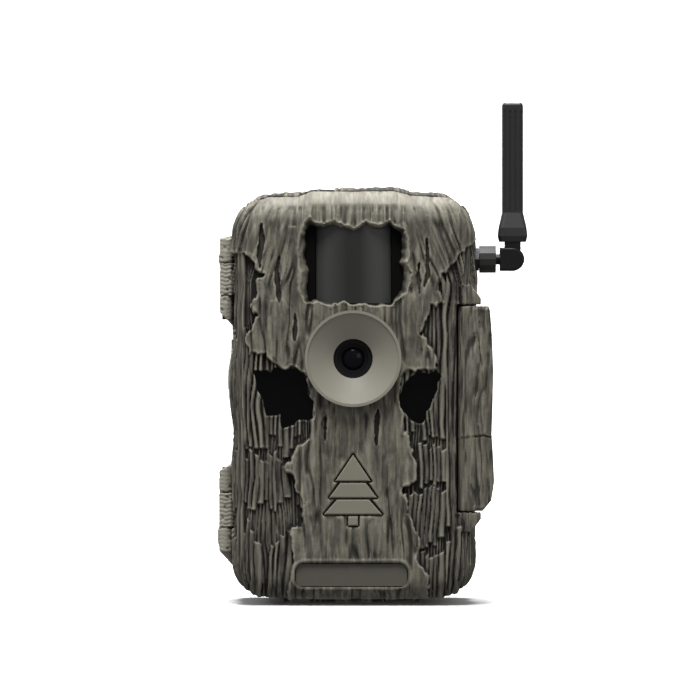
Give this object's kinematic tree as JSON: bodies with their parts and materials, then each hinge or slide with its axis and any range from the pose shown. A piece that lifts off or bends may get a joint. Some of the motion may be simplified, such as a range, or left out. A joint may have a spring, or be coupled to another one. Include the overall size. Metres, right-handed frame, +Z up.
{
  "type": "trail camera",
  "caption": "Bark textured wildlife camera with hinged front door, side latch lever, cone lens hood, motion sensor window, infrared flash windows, pivoting antenna and strap bracket.",
  "frame": {"origin": "mouth of the tripod socket in the underside, on the plane that the camera stands on", "axes": "+X to the right as seen from the front, front faces -Y, +Z up"},
  "size_m": [0.1127, 0.0795, 0.182],
  "materials": {
    "bark_shell": "moulded bark relief, matt, dark streaks",
    "bark_light": "matt beige grey",
    "hood_beige": "satin moulded",
    "black_plastic": "matt",
    "dark_window": "tinted, glossy",
    "sensor_window": "satin tinted film",
    "lens_glass": "coated",
    "steel": "zinc plated",
    "spring_steel": "rolled",
    "brass": "turned",
    "gold_plate": "plated",
    "dark_metal": "blackened",
    "board_green": "solder mask",
    "chip_black": "moulded",
    "shield_can": "tinned",
    "panel_grey": "fine texture",
    "key_grey": "satin",
    "screen": "glossy",
    "led_clear": "clear tinted",
    "card_blue": "printed blank",
    "card_white": "blank",
    "switch_red": "moulded",
    "cell_wrap": "plain wrap",
    "seal_rubber": "silicone",
    "antenna_black": "satin",
    "cable_black": "jacket",
    "tray_black": "moulded"
  },
  "bodies": {
    "housing": {"rear_housing": "bark_shell", "housing_seal": "seal_rubber", "hinge_pin_upper": "steel", "hinge_pin_lower": "steel", "latch_catch": "spring_steel", "catch_screws": "steel", "tree_bracket": "black_plastic", "bracket_screws": "steel", "tripod_insert": "brass", "power_board": "board_green", "dc_jack": "chip_black"},
    "door": {"front_cover": "bark_shell", "nameplate": "black_plastic", "emblem": "bark_light", "latch_pin": "steel", "lens_hood": "hood_beige", "lens_barrel": "black_plastic", "lens_glass": "lens_glass", "camera_module": "board_green", "pir_bezel": "black_plastic", "pir_lens": "sensor_window", "pir_baffle": "black_plastic", "pir_sensor": "shield_can", "ir_window_left": "dark_window", "ir_window_right": "dark_window", "led_board_left": "board_green", "led_board_right": "board_green", "ir_leds_left": "led_clear", "ir_leds_right": "led_clear", "main_board": "board_green", "board_chips": "chip_black", "cell_modem": "shield_can", "coax_pigtail": "cable_black", "antenna_connector": "gold_plate", "connector_nut": "dark_metal", "inner_panel": "panel_grey", "panel_screws": "steel", "lcd_screen": "screen", "tact_switches": "chip_black", "switch_body": "shield_can", "sd_socket": "shield_can", "sim_socket": "shield_can"},
    "latch": {"latch_lever": "bark_shell"},
    "antenna_nut": {"antenna_nut": "dark_metal"},
    "antenna_elbow": {"antenna_elbow": "antenna_black", "elbow_pin": "steel"},
    "antenna_whip": {"antenna_whip": "antenna_black"},
    "battery_tray": {"battery_tray": "tray_black", "battery_cells": "cell_wrap", "cell_contacts": "spring_steel"},
    "mode_switch": {"mode_switch": "switch_red"},
    "sd_card": {"sd_card": "card_blue"},
    "sim_card": {"sim_card": "card_white"},
    "port_plug": {"port_plug": "seal_rubber"},
    "button_up": {"button_up": "key_grey"},
    "button_down": {"button_down": "key_grey"},
    "button_left": {"button_left": "key_grey"},
    "button_right": {"button_right": "key_grey"},
    "button_ok": {"button_ok": "key_grey"}
  },
  "joints": [
    {"name": "door_hinge", "type": "hinge", "parent": "housing", "child": "door", "pos_m": [-0.0466, -0.011, 0.075], "axis": [0, 0, -1], "range_deg": [0, 120], "deforming": ["latch_catch"]},
    {"name": "latch_pivot", "type": "hinge", "parent": "door", "child": "latch", "pos_m": [0.0414, -0.0332, 0.071], "axis": [0, 0, -1], "range_deg": [0, 90]},
    {"name": "antenna_nut_spin", "type": "hinge", "parent": "door", "child": "antenna_nut", "pos_m": [0.0488, -0.022, 0.1251], "axis": [1, 0, 0], "continuous": true},
    {"name": "antenna_swivel", "type": "hinge", "parent": "door", "child": "antenna_elbow", "pos_m": [0.0533, -0.022, 0.1251], "axis": [1, 0, 0], "range_deg": [-180, 180]},
    {"name": "antenna_tilt", "type": "hinge", "parent": "antenna_elbow", "child": "antenna_whip", "pos_m": [0.0579, -0.022, 0.1251], "axis": [0, 1, 0], "range_deg": [0, 90]},
    {"name": "battery_tray_slide", "type": "slide", "parent": "housing", "child": "battery_tray", "axis": [0, -1, 0], "range_m": [0, 0.0135]},
    {"name": "mode_switch_slide", "type": "slide", "parent": "door", "child": "mode_switch", "axis": [0, 0, 1], "range_m": [0, 0.006]},
    {"name": "sd_card_slide", "type": "slide", "parent": "door", "child": "sd_card", "axis": [0, 0, -1], "range_m": [0, 0.015]},
    {"name": "sim_card_slide", "type": "slide", "parent": "door", "child": "sim_card", "axis": [0, 0, -1], "range_m": [0, 0.005]},
    {"name": "port_plug_slide", "type": "slide", "parent": "housing", "child": "port_plug", "axis": [0, 0, -1], "range_m": [0, 0.007]},
    {"name": "button_up_press", "type": "slide", "parent": "door", "child": "button_up", "axis": [0, -1, 0], "range_m": [0, 0.0006], "stiffness_N_per_m": 600, "springref_m": -0.0005},
    {"name": "button_down_press", "type": "slide", "parent": "door", "child": "button_down", "axis": [0, -1, 0], "range_m": [0, 0.0006], "stiffness_N_per_m": 600, "springref_m": -0.0005},
    {"name": "button_left_press", "type": "slide", "parent": "door", "child": "button_left", "axis": [0, -1, 0], "range_m": [0, 0.0006], "stiffness_N_per_m": 600, "springref_m": -0.0005},
    {"name": "button_right_press", "type": "slide", "parent": "door", "child": "button_right", "axis": [0, -1, 0], "range_m": [0, 0.0006], "stiffness_N_per_m": 600, "springref_m": -0.0005},
    {"name": "button_ok_press", "type": "slide", "parent": "door", "child": "button_ok", "axis": [0, -1, 0], "range_m": [0, 0.0006], "stiffness_N_per_m": 600, "springref_m": -0.0005}
  ]
}
